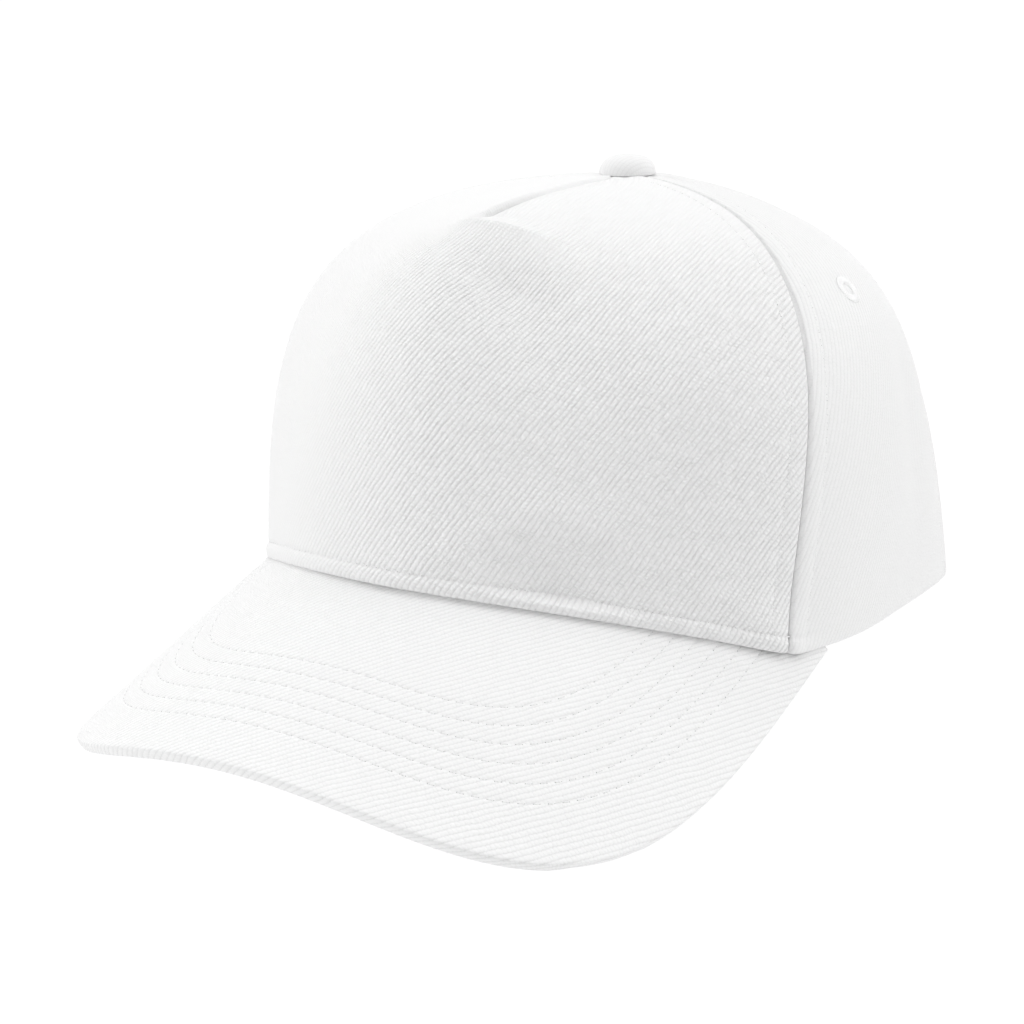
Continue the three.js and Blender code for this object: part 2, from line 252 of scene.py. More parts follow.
def unrolled(surface, dart_from=1.0):
    """The flat cut of surface(u, v): a coarse copy is unrolled by the unwrap operator, at real size and
    with its middle upright. A dart opens its middle column from dart_from to the top.
    Returns a function that looks a point (u, v) up in it, in millimetres."""
    coarse = bmesh.new()
    bmesh.ops.create_grid(coarse, x_segments=PATTERN_STEPS, y_segments=PATTERN_STEPS, size=0.5)
    flat = np.array([vert.co.xy for vert in coarse.verts]) + 0.5
    for edge in coarse.edges:
        middle = (edge.verts[0].co + edge.verts[1].co) / 2
        edge.seam = abs(middle.x) < 0.001 and middle.y + 0.5 > dart_from
    for vert, spot in zip(coarse.verts, surface(flat[:, 0], flat[:, 1])):
        vert.co = spot
    mesh = to_mesh("pattern", coarse)
    pattern = add_object("pattern", mesh)
    bpy.context.view_layer.objects.active = pattern
    bpy.ops.object.mode_set(mode="EDIT")
    bpy.ops.mesh.select_all(action="SELECT")
    bpy.ops.uv.unwrap(method="MINIMUM_STRETCH", margin=0)
    bpy.ops.object.mode_set(mode="OBJECT")
    cells = np.zeros((PATTERN_STEPS, PATTERN_STEPS, 2, 2, 2))
    real = cut = 0
    for face in mesh.polygons:
        places = flat[list(face.vertices)] * PATTERN_STEPS
        corner = np.floor(places.mean(axis=0)).astype(int)
        corners = [mesh.uv_layers.active.data[loop].uv.copy() for loop in face.loop_indices]
        for (x, y), spot in zip(np.round(places - corner).astype(int), corners):
            cells[corner[1], corner[0], y, x] = spot
        real += face.area
        cut += abs((corners[2] - corners[0]).cross(corners[3] - corners[1])) / 2
    bpy.data.objects.remove(pattern)
    bpy.data.meshes.remove(mesh)
    middle = PATTERN_STEPS // 2
    foot = cells[0, middle, 0, 0].copy()
    upright = cells[middle, middle, 0, 0] - foot
    lean = math.atan2(upright[0], upright[1])
    turn = np.array([[math.cos(lean), -math.sin(lean)], [math.sin(lean), math.cos(lean)]])
    cells = (cells - foot) @ turn.T * math.sqrt(real / cut)

    def look_up(u, v):
        x, y = u * PATTERN_STEPS, v * PATTERN_STEPS
        column_index = np.clip(x.astype(int), 0, PATTERN_STEPS - 1)
        row_index = np.clip(y.astype(int), 0, PATTERN_STEPS - 1)
        fx, fy = (x - column_index)[:, None], (y - row_index)[:, None]
        cell = cells[row_index, column_index]
        low = cell[:, 0, 0] * (1 - fx) + cell[:, 0, 1] * fx
        high = cell[:, 1, 0] * (1 - fx) + cell[:, 1, 1] * fx
        return low * (1 - fy) + high * fy

    print("unrolled cut", np.round(np.ptp(cells.reshape(-1, 2), axis=0), 1), "mm")
    return look_up


def shaped_grid(columns, rows, place, pattern):
    """A bmesh grid carried to place(u, v) in metres, with its cut map from pattern(u, v)."""
    grid = bmesh.new()
    bmesh.ops.create_grid(grid, x_segments=columns, y_segments=rows, size=0.5)
    grid.verts.index_update()
    flat = np.array([vert.co.xy for vert in grid.verts]) + 0.5
    corners = np.array([[loop.vert.index for loop in face.loops] for face in grid.faces])
    middles = flat[corners].mean(axis=1, keepdims=True)
    inside = flat[corners] * 0.999 + middles * 0.001  # so that a corner on a dart knows its side
    cut = pattern(*inside.reshape(-1, 2).T).reshape(*corners.shape, 2)
    cut_map = grid.loops.layers.uv.new("cut")
    for face, row in zip(grid.faces, cut):
        for loop, spot in zip(face.loops, row):
            loop[cut_map].uv = spot
    for vert, spot in zip(grid.verts, place(flat[:, 0], flat[:, 1])):
        vert.co = spot
    return grid


def finish_piece(name, grid, material, slot, *nodes, ends=None):
    """Writes a bmesh to a smooth object that stands for the CAD nodes and rides with the cap.
    Faces with the second material index take the material ends, where one is given."""
    for face in grid.faces:
        face.smooth = True
    mesh = to_mesh(name, grid)
    piece = add_object(name, mesh)
    mesh.materials.append(material)
    if ends:
        mesh.materials.append(ends)
    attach(piece, "root")
    if nodes:
        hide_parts(*nodes)
    print(name, len(mesh.polygons), "faces")
    return piece


# %% [markdown]
# Twill is woven in steps: each yarn floats over a few others and the next row starts one yarn later,
# so the floats line up in slanting ridges, the wales. From a little way off a wale reads as a row of
# beads, no two quite alike. The shader counts the wales across the cloth and the floats along each wale:
# the whole part of each count names one float, which gives it a random height, and the fraction is the
# place on it, which rounds it off. The height drives a Bump node, and it also darkens the grooves and
# pits a little: that is painted shade, standing in for the shade in the weave's hollows.
# wales fade over the top and towards the wearer's right, where the cloth is taken to be stretched smooth.

# %% Twill
WALE_PITCH = 1.2 * MM
FLOAT_PITCH = 0.86 * MM
FLOAT_STEP = 0.42  # how much later each wale's floats start
FLOAT_SWAY = 2.5  # how unevenly they are spaced, in floats
WALE_SWAY = 0.8 * MM  # how far a wale wanders
UNEVEN_SCALE = 160.0
FIBRE_SCALE = 3000.0
# a float's height adds up: what all have, what chance adds, two shares of roundness, and the fuzz
LEAST_PLUMP = 0.36
CHANCE_PLUMP = 0.42
YARN_ROUND = 0.16
YARN_JOIN = 0.14
FUZZ = 0.5
# the darker pit and groove tones are painted shade in the weave's hollows
PIT_HEIGHT = 0.22  # heights at which the tones of pit, groove and ridge lie
GROOVE_HEIGHT = 0.40
RIDGE_HEIGHT = 0.76
RELIEF = 0.13 * MM
STRETCHED_TOP = (70 * MM, 100 * MM)  # how far up the cut the front panel turns from slack to stretched
STRETCHED_SIDE = (-48 * MM, 12 * MM)  # and how far to the side of its middle
STRETCH_LEAVES = 0.32  # share of the relief that stretched cloth keeps
LEVEL_CLOTH = 0.4  # height that the floats keep there
# even tone of the stretched cloth, set darker as painted shade
STRETCHED_SHADE_TONE = 0.865


def grey(tone):
    return (tone, tone, tone, 1)


def feed(tree, socket, value):
    """Sets a socket to a number or colour, or links it to another node's output."""
    if isinstance(value, bpy.types.NodeSocket):
        tree.links.new(value, socket)
    else:
        socket.default_value = value


def add_node(tree, kind, **values):
    """A node with its settings and inputs; an underscore in a name stands for a space."""
    node = tree.nodes.new("ShaderNode" + kind)
    for key, value in values.items():
        if key in node.bl_rna.properties:
            setattr(node, key, value)
        else:
            feed(tree, node.inputs[key.replace("_", " ")], value)
    return node


def math_node(tree, operation, *inputs):
    node = add_node(tree, "Math", operation=operation)
    for socket, value in zip(node.inputs, inputs):
        feed(tree, socket, value)
    return node.outputs[0]


def new_material(name, **values):
    """A material and its Principled shader with those inputs set."""
    material = bpy.data.materials.new(name)
    material.use_nodes = True
    shader = material.node_tree.nodes["Principled BSDF"]
    for key, value in values.items():
        shader.inputs[key.replace("_", " ")].default_value = value
    return material, shader


def finish_shader(tree, shader, bump, tone):
    tree.links.new(bump.outputs["Normal"], shader.inputs["Normal"])
    tree.links.new(tone.outputs["Color"], shader.inputs["Base Color"])


def counted(tree, place, pitch, shift=0.0):
    """Whole number of pitches up to a place, and the rounded height of the one that it is on."""
    turns = math_node(tree, "DIVIDE", place, pitch)
    turns = math_node(tree, "ADD", turns, shift)
    number = math_node(tree, "FLOOR", turns)
    rest = math_node(tree, "FRACT", turns)
    return number, math_node(tree, "SINE", math_node(tree, "MULTIPLY", rest, math.pi))


def mapped(tree, value, low, high, at_low, at_high):
    """Eases from one number to another between two values."""
    ease = add_node(tree, "MapRange", interpolation_type="SMOOTHSTEP", Value=value,
                    From_Min=low, From_Max=high, To_Min=at_low, To_Max=at_high)
    return ease.outputs["Result"]


def slackness(tree, cloth):
    """1 where the cloth hangs slack, less where it is stretched: over the top and towards the right."""
    place = add_node(tree, "SeparateXYZ", Vector=cloth)
    over_top = mapped(tree, place.outputs["Y"], *STRETCHED_TOP, 1.0, STRETCH_LEAVES)
    far_side = mapped(tree, place.outputs["X"], *STRETCHED_SIDE, STRETCH_LEAVES, 1.0)
    return math_node(tree, "MULTIPLY", over_top, far_side)


def twill(name, wale_angle, relief=RELIEF, pit=0.74, groove=0.84, ridge=0.91, stretched=False):
    material, shader = new_material(name, Roughness=0.92, Specular_IOR_Level=0.15,
                                    Sheen_Weight=0.12, Sheen_Roughness=0.55)
    tree = material.node_tree
    cloth = add_node(tree, "UVMap", uv_map="cut").outputs["UV"]
    uneven = add_node(tree, "TexNoise", Scale=UNEVEN_SCALE, Detail=2.0, Vector=cloth).outputs["Fac"]
    turned = add_node(tree, "Mapping", Rotation=(0, 0, -math.radians(wale_angle)), Vector=cloth)
    axes = add_node(tree, "SeparateXYZ", Vector=turned.outputs["Vector"])
    sway = math_node(tree, "MULTIPLY", uneven, WALE_SWAY)
    across = math_node(tree, "ADD", axes.outputs["Y"], sway)
    wale, wale_round = counted(tree, across, WALE_PITCH)
    late = math_node(tree, "MULTIPLY", wale, FLOAT_STEP)
    late = math_node(tree, "MULTIPLY_ADD", uneven, FLOAT_SWAY, late)
    yarn, yarn_round = counted(tree, axes.outputs["X"], FLOAT_PITCH, late)
    name_of_float = add_node(tree, "CombineXYZ", X=wale, Y=yarn).outputs["Vector"]
    chance = add_node(tree, "TexWhiteNoise", noise_dimensions="2D", Vector=name_of_float)
    plump = math_node(tree, "MULTIPLY_ADD", chance.outputs["Value"], CHANCE_PLUMP, LEAST_PLUMP)
    swell = math_node(tree, "MULTIPLY_ADD", yarn_round, YARN_ROUND, plump)
    woven = math_node(tree, "MULTIPLY", wale_round, swell)
    joined = math_node(tree, "MULTIPLY_ADD", yarn_round, YARN_JOIN, woven)
    fibre = add_node(tree, "TexNoise", Scale=FIBRE_SCALE, Detail=3.0, Vector=cloth)
    fuzzy = math_node(tree, "MULTIPLY_ADD", fibre.outputs["Fac"], FUZZ, joined)
    if stretched:
        slack = slackness(tree, cloth)
        uneven_height = math_node(tree, "SUBTRACT", fuzzy, LEVEL_CLOTH)
        fuzzy = math_node(tree, "MULTIPLY_ADD", uneven_height, slack, LEVEL_CLOTH)
    bump = add_node(tree, "Bump", Strength=1.0, Distance=relief, Height=fuzzy)
    # painted shade: the ramp darkens the pits and grooves of the weave
    tone = add_node(tree, "ValToRGB", Fac=fuzzy)
    tone.color_ramp.elements[0].position = PIT_HEIGHT
    tone.color_ramp.elements[0].color = grey(pit)
    tone.color_ramp.elements[1].position = RIDGE_HEIGHT
    tone.color_ramp.elements[1].color = grey(ridge)
    tone.color_ramp.elements.new(GROOVE_HEIGHT).color = grey(groove)
    if stretched:
        # painted shade: stretched cloth takes the even darker tone in place of the weave's own shading
        tone = add_node(tree, "MixRGB", Fac=slack, Color1=grey(STRETCHED_SHADE_TONE), Color2=tone.outputs["Color"])
    finish_shader(tree, shader, bump, tone)
    return material


front_twill = twill("front_twill", 57, 0.38 * MM, 0.74, 0.90, 0.95, stretched=True)
side_twill = twill("side_twill", 66, 0.11 * MM, 0.74, 0.83, 0.87)
back_twill = twill("back_twill", 62, 0.11 * MM, 0.74, 0.83, 0.87)
peak_twill = twill("peak_twill", -49, 0.17 * MM)
trim_twill = twill("trim_twill", 45)
button_twill = twill("button_twill", 75, 0.05 * MM, 0.78, 0.83, 0.87)
print("twill with a wale each", WALE_PITCH / MM, "mm")

# %% [markdown]
# Sewing thread is two or three plies twisted together. The twist shows as slanting lines, which the
# shader counts off along a slant, with painted shade between the plies. Where a stitch dives into its needle
# hole it lies in shade, so the ends of each stitch take a dark material of their own: painted shade.

# %% Thread
PLY_PITCH = 0.5 * MM
PLY_RELIEF = 0.05 * MM


def thread_material(name, valley, crest):
    """Twisted thread, with the tones between its plies and on them; the darker tone between the plies is
    painted shade.
    """
    material, shader = new_material(name, Roughness=0.6, Specular_IOR_Level=0.3, Sheen_Weight=0.1)
    tree = material.node_tree
    axes = add_node(tree, "SeparateXYZ", Vector=add_node(tree, "TexCoord").outputs["Object"])
    slant = math_node(tree, "ADD", axes.outputs["X"], axes.outputs["Z"])
    plies = counted(tree, slant, PLY_PITCH)[1]
    bump = add_node(tree, "Bump", Strength=0.6, Distance=PLY_RELIEF, Height=plies)
    # painted shade: the valleys between the plies take the darker tone
    tone = add_node(tree, "ValToRGB", Fac=plies)
    tone.color_ramp.elements[0].color = grey(valley)
    tone.color_ramp.elements[1].color = grey(crest)
    finish_shader(tree, shader, bump, tone)
    return material


thread = thread_material("thread", 0.84, 0.95)
# painted shade: the peak's thread is a darker copy of the same white thread, for the shade of the grooves it
# lies in
peak_thread_painted_shade = thread_material("peak_thread_painted_shade", 0.80, 0.87)
# painted shade: the dark material for the stitches' ends, where they dive into their needle holes
thread_end_painted_shade = thread_material("thread_end_painted_shade", 0.36, 0.42)

# %% [markdown]
# Cloth is never quite smooth. The broad dents and the slack fold over the ear are part of the form, and
# the dart of the front panel is a seam in itself: the cloth is pinched from its end up to the button, the
# far side rolls over, and the near side dives under it. A crease runs level from the dart's end, and the
# cloth under it falls away. All of it is a depth that is taken off the dome.

# %% Dents, dart and slack
DENTS = [
    # place and half width in degrees, share of the profile and half height, lean in degrees a share, depth
    (14, 0.46, 8, 0.08, -50, 2.4),  # three for the valley that runs down from the crease
    (17, 0.36, 10, 0.12, -50, 1.7),
    (26, 0.12, 8, 0.12, -50, 0.5),
    (46, 0.36, 20, 0.2, 0, -3.1),  # the fuller part beside the front seam
    (24, 0.025, 7, 0.045, 0, 3.2),  # hollow over the peak, and the rise over the hollow
    (24, 0.105, 8, 0.035, 0, -1.0),
    (8, 0.045, 5, 0.06, 220, -0.4),  # slack fold beside the hollow
    (54, 0.01, 5, 0.045, -60, -1.5),  # the corner flares out
    (-36, 0.05, 6, 0.05, 0, 0.2),  # a faint dent on the wearer's right
    (93, 0.27, 6, 0.16, 0, 1.6),  # slack fold over the ear
]
DENTS_FADE = (0.011, 0.019)  # the stitched hem is stiff and keeps out of the hollows
SHOULDER = 2.7  # height of the crease that runs level from the dart's end
SHOULDER_SHARE = 0.6
SHOULDER_FALLS = (0.055, 0.03)  # how fast the cloth falls away below and above it
SHOULDER_STARTS = (-9, 1)  # degrees between which the crease rises, and between which it dies out
SHOULDER_ENDS = (5, 24)
DART_FROM = 0.63
DART_FADE = 0.025
DART_DEPTH = 2.4
DART_EASE = 0.7  # share of that depth that is gone where the dart nears the button
DART_EASES = (0.68, 0.84)  # shares of the profile between which it goes
DART_ROLL = 1.0
DART_ROLL_WIDTH = 3.6
DART_TURN = 1.5
DART_SLOT = 0.45
DART_SAG = 0.5  # how far the near side hangs under the rolled one
DART_SAG_WIDTH = 7
BUTTON_DIMPLE = 0.8  # the button presses into the cloth
DIMPLE_RADII = (6.2, 7.4)
BUTTON_FADE = (0.955, 0.972)  # shares between which dart and seams flatten under the button


def bell(offset, half):
    return np.exp(-((offset / half) ** 2))


def smoothstep(value, low, high):
    t = np.clip((value - low) / (high - low), 0, 1)
    return t * t * (3 - 2 * t)


def dent_depth(degrees, share):
    away = away_from_front(degrees)
    depth = np.zeros_like(share)
    for place, up, wide, tall, lean, deep in DENTS:
        above = share - up
        depth = depth + deep * bell(away - place - lean * above, wide) * bell(above, tall)
    fall = np.where(share < SHOULDER_SHARE, *SHOULDER_FALLS)
    crest = np.exp(-np.abs(share - SHOULDER_SHARE) / fall)
    along = smoothstep(away, *SHOULDER_STARTS) * (1 - smoothstep(away, *SHOULDER_ENDS))
    depth = depth - SHOULDER * crest * along
    return np.where(depth > 0, depth * smoothstep(share, *DENTS_FADE), depth)


def dart_depth(degrees, share, radius):
    """Depth across the dart: positive sinks, and the wearer's right side of it rolls over the left."""
    offset = np.radians(away_from_front(degrees)) * radius
    along = smoothstep(share, DART_FROM, DART_FROM + DART_FADE) * (1 - smoothstep(share, *BUTTON_FADE))
    ease = 1 - DART_EASE * smoothstep(share, *DART_EASES)
    deep = DART_DEPTH * ease
    under = deep * bell(offset, DART_SLOT) + DART_SAG * bell(offset, DART_SAG_WIDTH)
    turn = np.clip((offset + DART_TURN) / DART_TURN, 0, 1)
    over = -DART_ROLL * ease * bell(offset, DART_ROLL_WIDTH) * (1 - turn**3) + deep * turn**3
    return along * np.where(offset > 0, under, over)


# %% [markdown]
# Where two panels are sewn together, both edges turn in, so that a fine groove runs between two round
# shoulders. Inside, the allowances are pressed open and stitched down, which lifts a flat ridge on each
# side of the seam and pulls a shallow line in at its far side. The hem is turned under in the same way.

# %% Seams and hem
SEAM_TURN = 1.1
SEAM_SLOT = (0.25, 0.5)  # from the seam to the foot and to the top of its slot's wall
SEAM_SQUASH = 0.55  # the shoulders are pressed flat
SEAM_DEEP = 0.6  # how far the allowances go on inwards from the shoulders
RIDGE_PLACE = 2.4
RIDGE_HALF = 1.9
FRONT_RIDGE = 0.1
SIDE_RIDGE = 0.35  # the front seam's allowance is pressed under the side panel
BACK_RIDGE = 0.2
STITCH_LINE = 4.8
STITCH_PULL = 0.16
STITCH_HALF = 0.45
HEM_TURN = 1.5
HEM_FLAT = 0.6  # share of that turn that is gone where the strip is pressed to the peak
HEM_STITCH = 4.2
HEM_ROLL = 0.5
HEM_ROLL_POWER = 0.8  # below 1 makes the roll fuller than half a wave
HEM_PULL = 0.3
HEM_PULL_HALF = 0.5
HEM_LIFT = 0.4  # how far the front hem is lifted from the peak
HEM_DROP = 0.7  # and how far it is pressed down at its ends
LIFT_STARTS = (-45, 10)  # degrees between which it rises, and between which it comes down
LIFT_ENDS = (40, 62)
STRIP_END = 57  # degrees, where the hem strip starts to run out


def turned_edge(distance, radius):
    """Depth of an edge that turns in with a round shoulder."""
    inside = np.clip(radius - distance, 0, radius)
    return radius - np.sqrt(np.maximum(radius**2 - inside**2, 0))


def seam_depth(distance, ridge):
    raised = -ridge * bell(distance - RIDGE_PLACE, RIDGE_HALF)
    pulled = STITCH_PULL * bell(distance - STITCH_LINE, STITCH_HALF)
    inwards = SEAM_DEEP * (1 - smoothstep(distance, *SEAM_SLOT))
    return SEAM_SQUASH * turned_edge(distance, SEAM_TURN) + inwards + raised + pulled


def on_strip(degrees):
    """1 where the hem strip over the peak is full, 0 past the peak's corner."""
    return 1 - smoothstep(np.abs(away_from_front(degrees)), STRIP_END, PEAK_CORNER)


def hem_raised(degrees):
    """1 where the front hem is lifted off the peak, 0 where it is pressed down."""
    away = away_from_front(degrees)
    return smoothstep(away, *LIFT_STARTS) * (1 - smoothstep(away, *LIFT_ENDS))


def hem_depth(degrees, above):
    strip = on_strip(degrees)
    turn = HEM_TURN * (1 - HEM_FLAT * strip * (1 - hem_raised(degrees)))
    rolled = -HEM_ROLL * strip * np.sin(math.pi * np.clip(above / HEM_STITCH, 0, 1)) ** HEM_ROLL_POWER
    pulled = HEM_PULL * strip * bell(above - HEM_STITCH, HEM_PULL_HALF)
    return turned_edge(above, turn) + rolled + pulled


def front_hem_share(degrees):
    """Share at which the panels' hem starts over the peak."""
    raised = hem_raised(degrees)
    lift = on_strip(degrees) * (HEM_LIFT * raised - HEM_DROP * (1 - raised))
    return lift / (3 * column("rise", degrees))


# %% [markdown]
# A panel is the stretch of the dome between two seams. Its grid columns run from seam to seam and its
# rows from the hem to the button. A Solidify modifier gives the cloth its thickness, inwards from the
# face that shows.

# %% The five panels
PANEL_WALL = 1.1
SEAM_CLEAR = 0.05
FRONT_SEAM = (55.6, 69.2)  # polar angle at the hem and at the top
BACK_SEAM = (123, 123)
MIDDLE_BACK = (180, 180)
OPENING_HALF_ANGLE = 21
OPENING_SHARE = 0.29


def seam_angle(seam, share):
    return seam[0] + (seam[1] - seam[0]) * share


def mirrored(seam):
    return (-seam[0], -seam[1])


def opening_share(degrees):
    """The back panels' hem rises over the round opening."""
    across = np.clip((180 - np.abs(away_from_front(degrees))) / OPENING_HALF_ANGLE, 0, 1)
    return OPENING_SHARE * np.sqrt(1 - across**2)


def hem_share(degrees):
    return front_hem_share(degrees) + opening_share(degrees)


def plan_radius(points):
    return np.hypot(points[..., 0], points[..., 1])


def crown_cloth(degrees, share, seams, with_dart=False):
    """The outer face of the cloth with its dents, seams, hem and dart."""
    smooth = smooth_crown(degrees, share)
    above = 3 * column("rise", degrees) * (share - hem_share(degrees))
    depth = dent_depth(degrees, share) + seams + hem_depth(degrees, above)
    depth = depth + BUTTON_DIMPLE * (1 - smoothstep(plan_radius(smooth), *DIMPLE_RADII))
    if with_dart:
        depth = depth + dart_depth(degrees, share, plan_radius(smooth))
    return smooth - crown_normal(degrees, share) * depth[..., None]


def panel_lines(left, right, across, up):
    """Polar angle and share of a point of a panel, and its distances from the two seams."""
    low = hem_share(left[0] + (right[0] - left[0]) * across)
    share = low + (APEX_SHARE - low) * up
    middle = np.full_like(share, (left[0] + right[0]) / 2)
    clear = np.degrees(SEAM_CLEAR / plan_radius(smooth_crown(middle, share)))
    start = seam_angle(left, share) + clear
    end = seam_angle(right, share) - clear
    degrees = start + (end - start) * across
    radius = plan_radius(smooth_crown(degrees, share))
    return degrees, share, np.radians(degrees - start) * radius, np.radians(end - degrees) * radius


HEM_ROWS = 0.12  # this share of a panel's rows lies in the lowest part of it
HEM_BAND = 0.034


def panel_rows(v):
    """Spreads even rows so that they lie close together over the hem."""
    above = HEM_BAND + (1 - HEM_BAND) * (v - HEM_ROWS) / (1 - HEM_ROWS)
    return np.where(v < HEM_ROWS, HEM_BAND * v / HEM_ROWS, above)


def thicken(piece, thickness):
    wall = piece.modifiers.new("wall", "SOLIDIFY")
    wall.thickness = thickness * MM
    wall.offset = -1


def sew_panel(name, left, right, ridges, size, material, with_dart=False):
    """A panel between two seams, with the height of the ridge beside each."""
    stations = (0, 0.5, 1) if with_dart else (0, 1)

    def smooth_place(u, v):
        degrees, share, _, _ = panel_lines(left, right, u, v)
        return smooth_crown(degrees, share)

    dart_up = (DART_FROM - hem_share(0)) / (APEX_SHARE - hem_share(0)) if with_dart else 1
    unrolled_cut = unrolled(smooth_place, dart_up)

    def cut_place(u, v):
        return unrolled_cut(crowd(u, stations), panel_rows(v)) * MM

    def place(u, v):
        across, up = crowd(u, stations), panel_rows(v)
        degrees, share, from_left, from_right = panel_lines(left, right, across, up)
        beside_left = seam_depth(from_left, ridges[0])
        beside_right = seam_depth(from_right, ridges[1])
        seams = np.where(from_left < from_right, beside_left, beside_right)
        under_button = smoothstep(share, *BUTTON_FADE)
        return to_table(crown_cloth(degrees, share, seams * (1 - under_button), with_dart))

    piece = finish_piece(name, shaped_grid(*size, place, cut_place), material, "crown_twill", name)
    thicken(piece, PANEL_WALL)


FRONT_GRID = (200, 180)
SIDE_GRID = (110, 130)
BACK_GRID = (100, 120)
FRONT_SEAM_RIGHT = mirrored(FRONT_SEAM)
BACK_SEAM_RIGHT = mirrored(BACK_SEAM)
BACK_SEAM_ON_ROUND = tuple(360 - angle for angle in BACK_SEAM)  # the same seam, counted on past the back
BOTH_FRONT = (FRONT_RIDGE, FRONT_RIDGE)
BOTH_BACK = (BACK_RIDGE, BACK_RIDGE)
SIDE_RIDGES = (SIDE_RIDGE, BACK_RIDGE)
sew_panel("front_panel", FRONT_SEAM_RIGHT, FRONT_SEAM, BOTH_FRONT, FRONT_GRID, front_twill, with_dart=True)
sew_panel("side_panel_left", FRONT_SEAM, BACK_SEAM, SIDE_RIDGES, SIDE_GRID, side_twill)
sew_panel("side_panel_right", BACK_SEAM_RIGHT, FRONT_SEAM_RIGHT, SIDE_RIDGES[::-1], SIDE_GRID, side_twill)
sew_panel("back_panel_left", BACK_SEAM, MIDDLE_BACK, BOTH_BACK, BACK_GRID, back_twill)
sew_panel("back_panel_right", MIDDLE_BACK, BACK_SEAM_ON_ROUND, BOTH_BACK, BACK_GRID, back_twill)

# %% [markdown]
# The peak is a board in a cloth cover: a flat top, a rounded free edge and a flat underside, with a
# flange that turns up behind the hem where it is sewn in. The cover is stitched through in six rows that
# follow the free edge, and each row pulls the cloth in. The grid's rows follow the free edge too, so that
# each stitched line has a row of its own. Rows that would run in under the crown stop at the root.

# %% The peak
PEAK_STITCH_FIRST = 12.2
PEAK_STITCH_PITCH = 4.27
PEAK_STITCH_ROWS = 6
ROWS_PER_PITCH = 10
PEAK_COLUMNS = 230
EDGE_STEPS = 13
EDGE_ROWS = 24  # grid rows from the first stitched line towards the free edge, and from there to the hem
HEM_SIDE_ROWS = 126
ROOT_INSET = 1.3
ROOT_SEARCH = 80.0  # the root lies nearer to the free edge than this
ROOT_HALVINGS = 30
ROOT_STEPS = 1440
FLANGE_SHARE = 0.035
FLANGE_FACES = (3.6, 2.45)  # how far the flange's inner and outer face lie behind the crown's face
PEAK_PULL = 0.2
PEAK_PULL_HALF = 0.32
PEAK_PUFF = 0.03
EDGE_SQUARENESS = 5


def root_inset(angle):
    """How far in each column of the peak meets the crown, by halving the interval."""
    low = np.zeros_like(angle)
    high = np.full_like(angle, ROOT_SEARCH)
    for _ in range(ROOT_HALVINGS):
        middle = (low + high) / 2
        point = peak_top(*peak_outline(angle, middle))
        polar = np.degrees(np.arctan2(point[:, 0], -point[:, 1]))
        outside = np.hypot(point[:, 0], point[:, 1]) > column("reach", polar) - ROOT_INSET
        low = np.where(outside, middle, low)
        high = np.where(outside, high, middle)
    return low


def stitched(inset):
    """Depth of the six pulled rows and the soft puffs between them."""
    place = (inset - PEAK_STITCH_FIRST) / PEAK_STITCH_PITCH
    rows = PEAK_STITCH_ROWS - 1
    nearest = np.clip(np.round(place), 0, rows)
    pulled = PEAK_PULL * bell((place - nearest) * PEAK_STITCH_PITCH, PEAK_PULL_HALF)
    between = np.where((place > 0) & (place < rows), np.sin(math.pi * place) ** 2, 0)
    return pulled - PEAK_PUFF * between


half_thick = PEAK_THICKNESS / 2
row_places = np.arange(-EDGE_ROWS, HEM_SIDE_ROWS) / ROWS_PER_PITCH
whole_rows = np.floor(row_places)
levels = PEAK_STITCH_FIRST + PEAK_STITCH_PITCH * (whole_rows + crowd(row_places - whole_rows))
edge_turns = np.linspace(0, math.pi, EDGE_STEPS + 2)
edge_insets = half_thick - half_thick * np.abs(np.sin(edge_turns)) ** (2 / EDGE_SQUARENESS)
edge_sides = np.sign(np.cos(edge_turns)) * np.abs(np.cos(edge_turns)) ** (2 / EDGE_SQUARENESS)
edge_depths = half_thick - half_thick * edge_sides
edge_steps = np.hypot(np.diff(edge_insets), np.diff(edge_depths))
edge_runs = np.concatenate([[0], np.cumsum(edge_steps)])
top_rows = [(inset, 0.0) for inset in levels[::-1]]
edge_rows = list(zip(edge_insets, edge_depths))
under_rows = [(inset, PEAK_THICKNESS) for inset in levels]
section = np.array(top_rows + edge_rows + under_rows)
cut_insets = np.concatenate([levels[::-1], half_thick - edge_runs, levels])
FLANGE = 3  # rows before the section: flange foot, flange top inside, flange top outside
flange_runs = np.array([19.0, 10.2, 9.0, 0.0])  # how far along the cloth each of them is from the root
root_angles = np.linspace(-90, 90, ROOT_STEPS + 1)
root_insets = root_inset(root_angles)


def root_at(angle):
    return np.interp(angle, root_angles, root_insets)


def peak_place(u, v):
    count = len(section) + FLANGE
    row = np.round(v * (count - 1)).astype(int)
    angle = 90 * (2 * u - 1)
    limit = root_at(angle)
    member = np.clip(row - FLANGE, 0, len(section) - 1)
    inset = np.minimum(section[member, 0], limit)
    depth = section[member, 1]
    on_face = (section[member, 0] >= half_thick) & (inset > half_thick)
    pull = np.where(on_face, stitched(inset), 0)
    depth = depth + np.where(section[member, 1] < half_thick, pull, -pull)
    across, forward = peak_outline(angle, inset)
    spots = peak_top(across, forward) - peak_normal(across, forward) * depth[:, None]
    root = peak_top(*peak_outline(angle, limit))
    polar = np.degrees(np.arctan2(root[:, 0], -root[:, 1]))
    foot = root - peak_normal(*peak_outline(angle, limit)) * PEAK_THICKNESS
    spots = np.where((row == 0)[:, None], foot, spots)
    shares = np.full_like(polar, FLANGE_SHARE)
    for index, behind in enumerate(FLANGE_FACES, 1):
        sunk = behind + dent_depth(polar, shares)
        raised = smooth_crown(polar, shares) - crown_normal(polar, shares) * sunk[:, None]
        spots = np.where((row == index)[:, None], raised, spots)
    return to_table(spots)


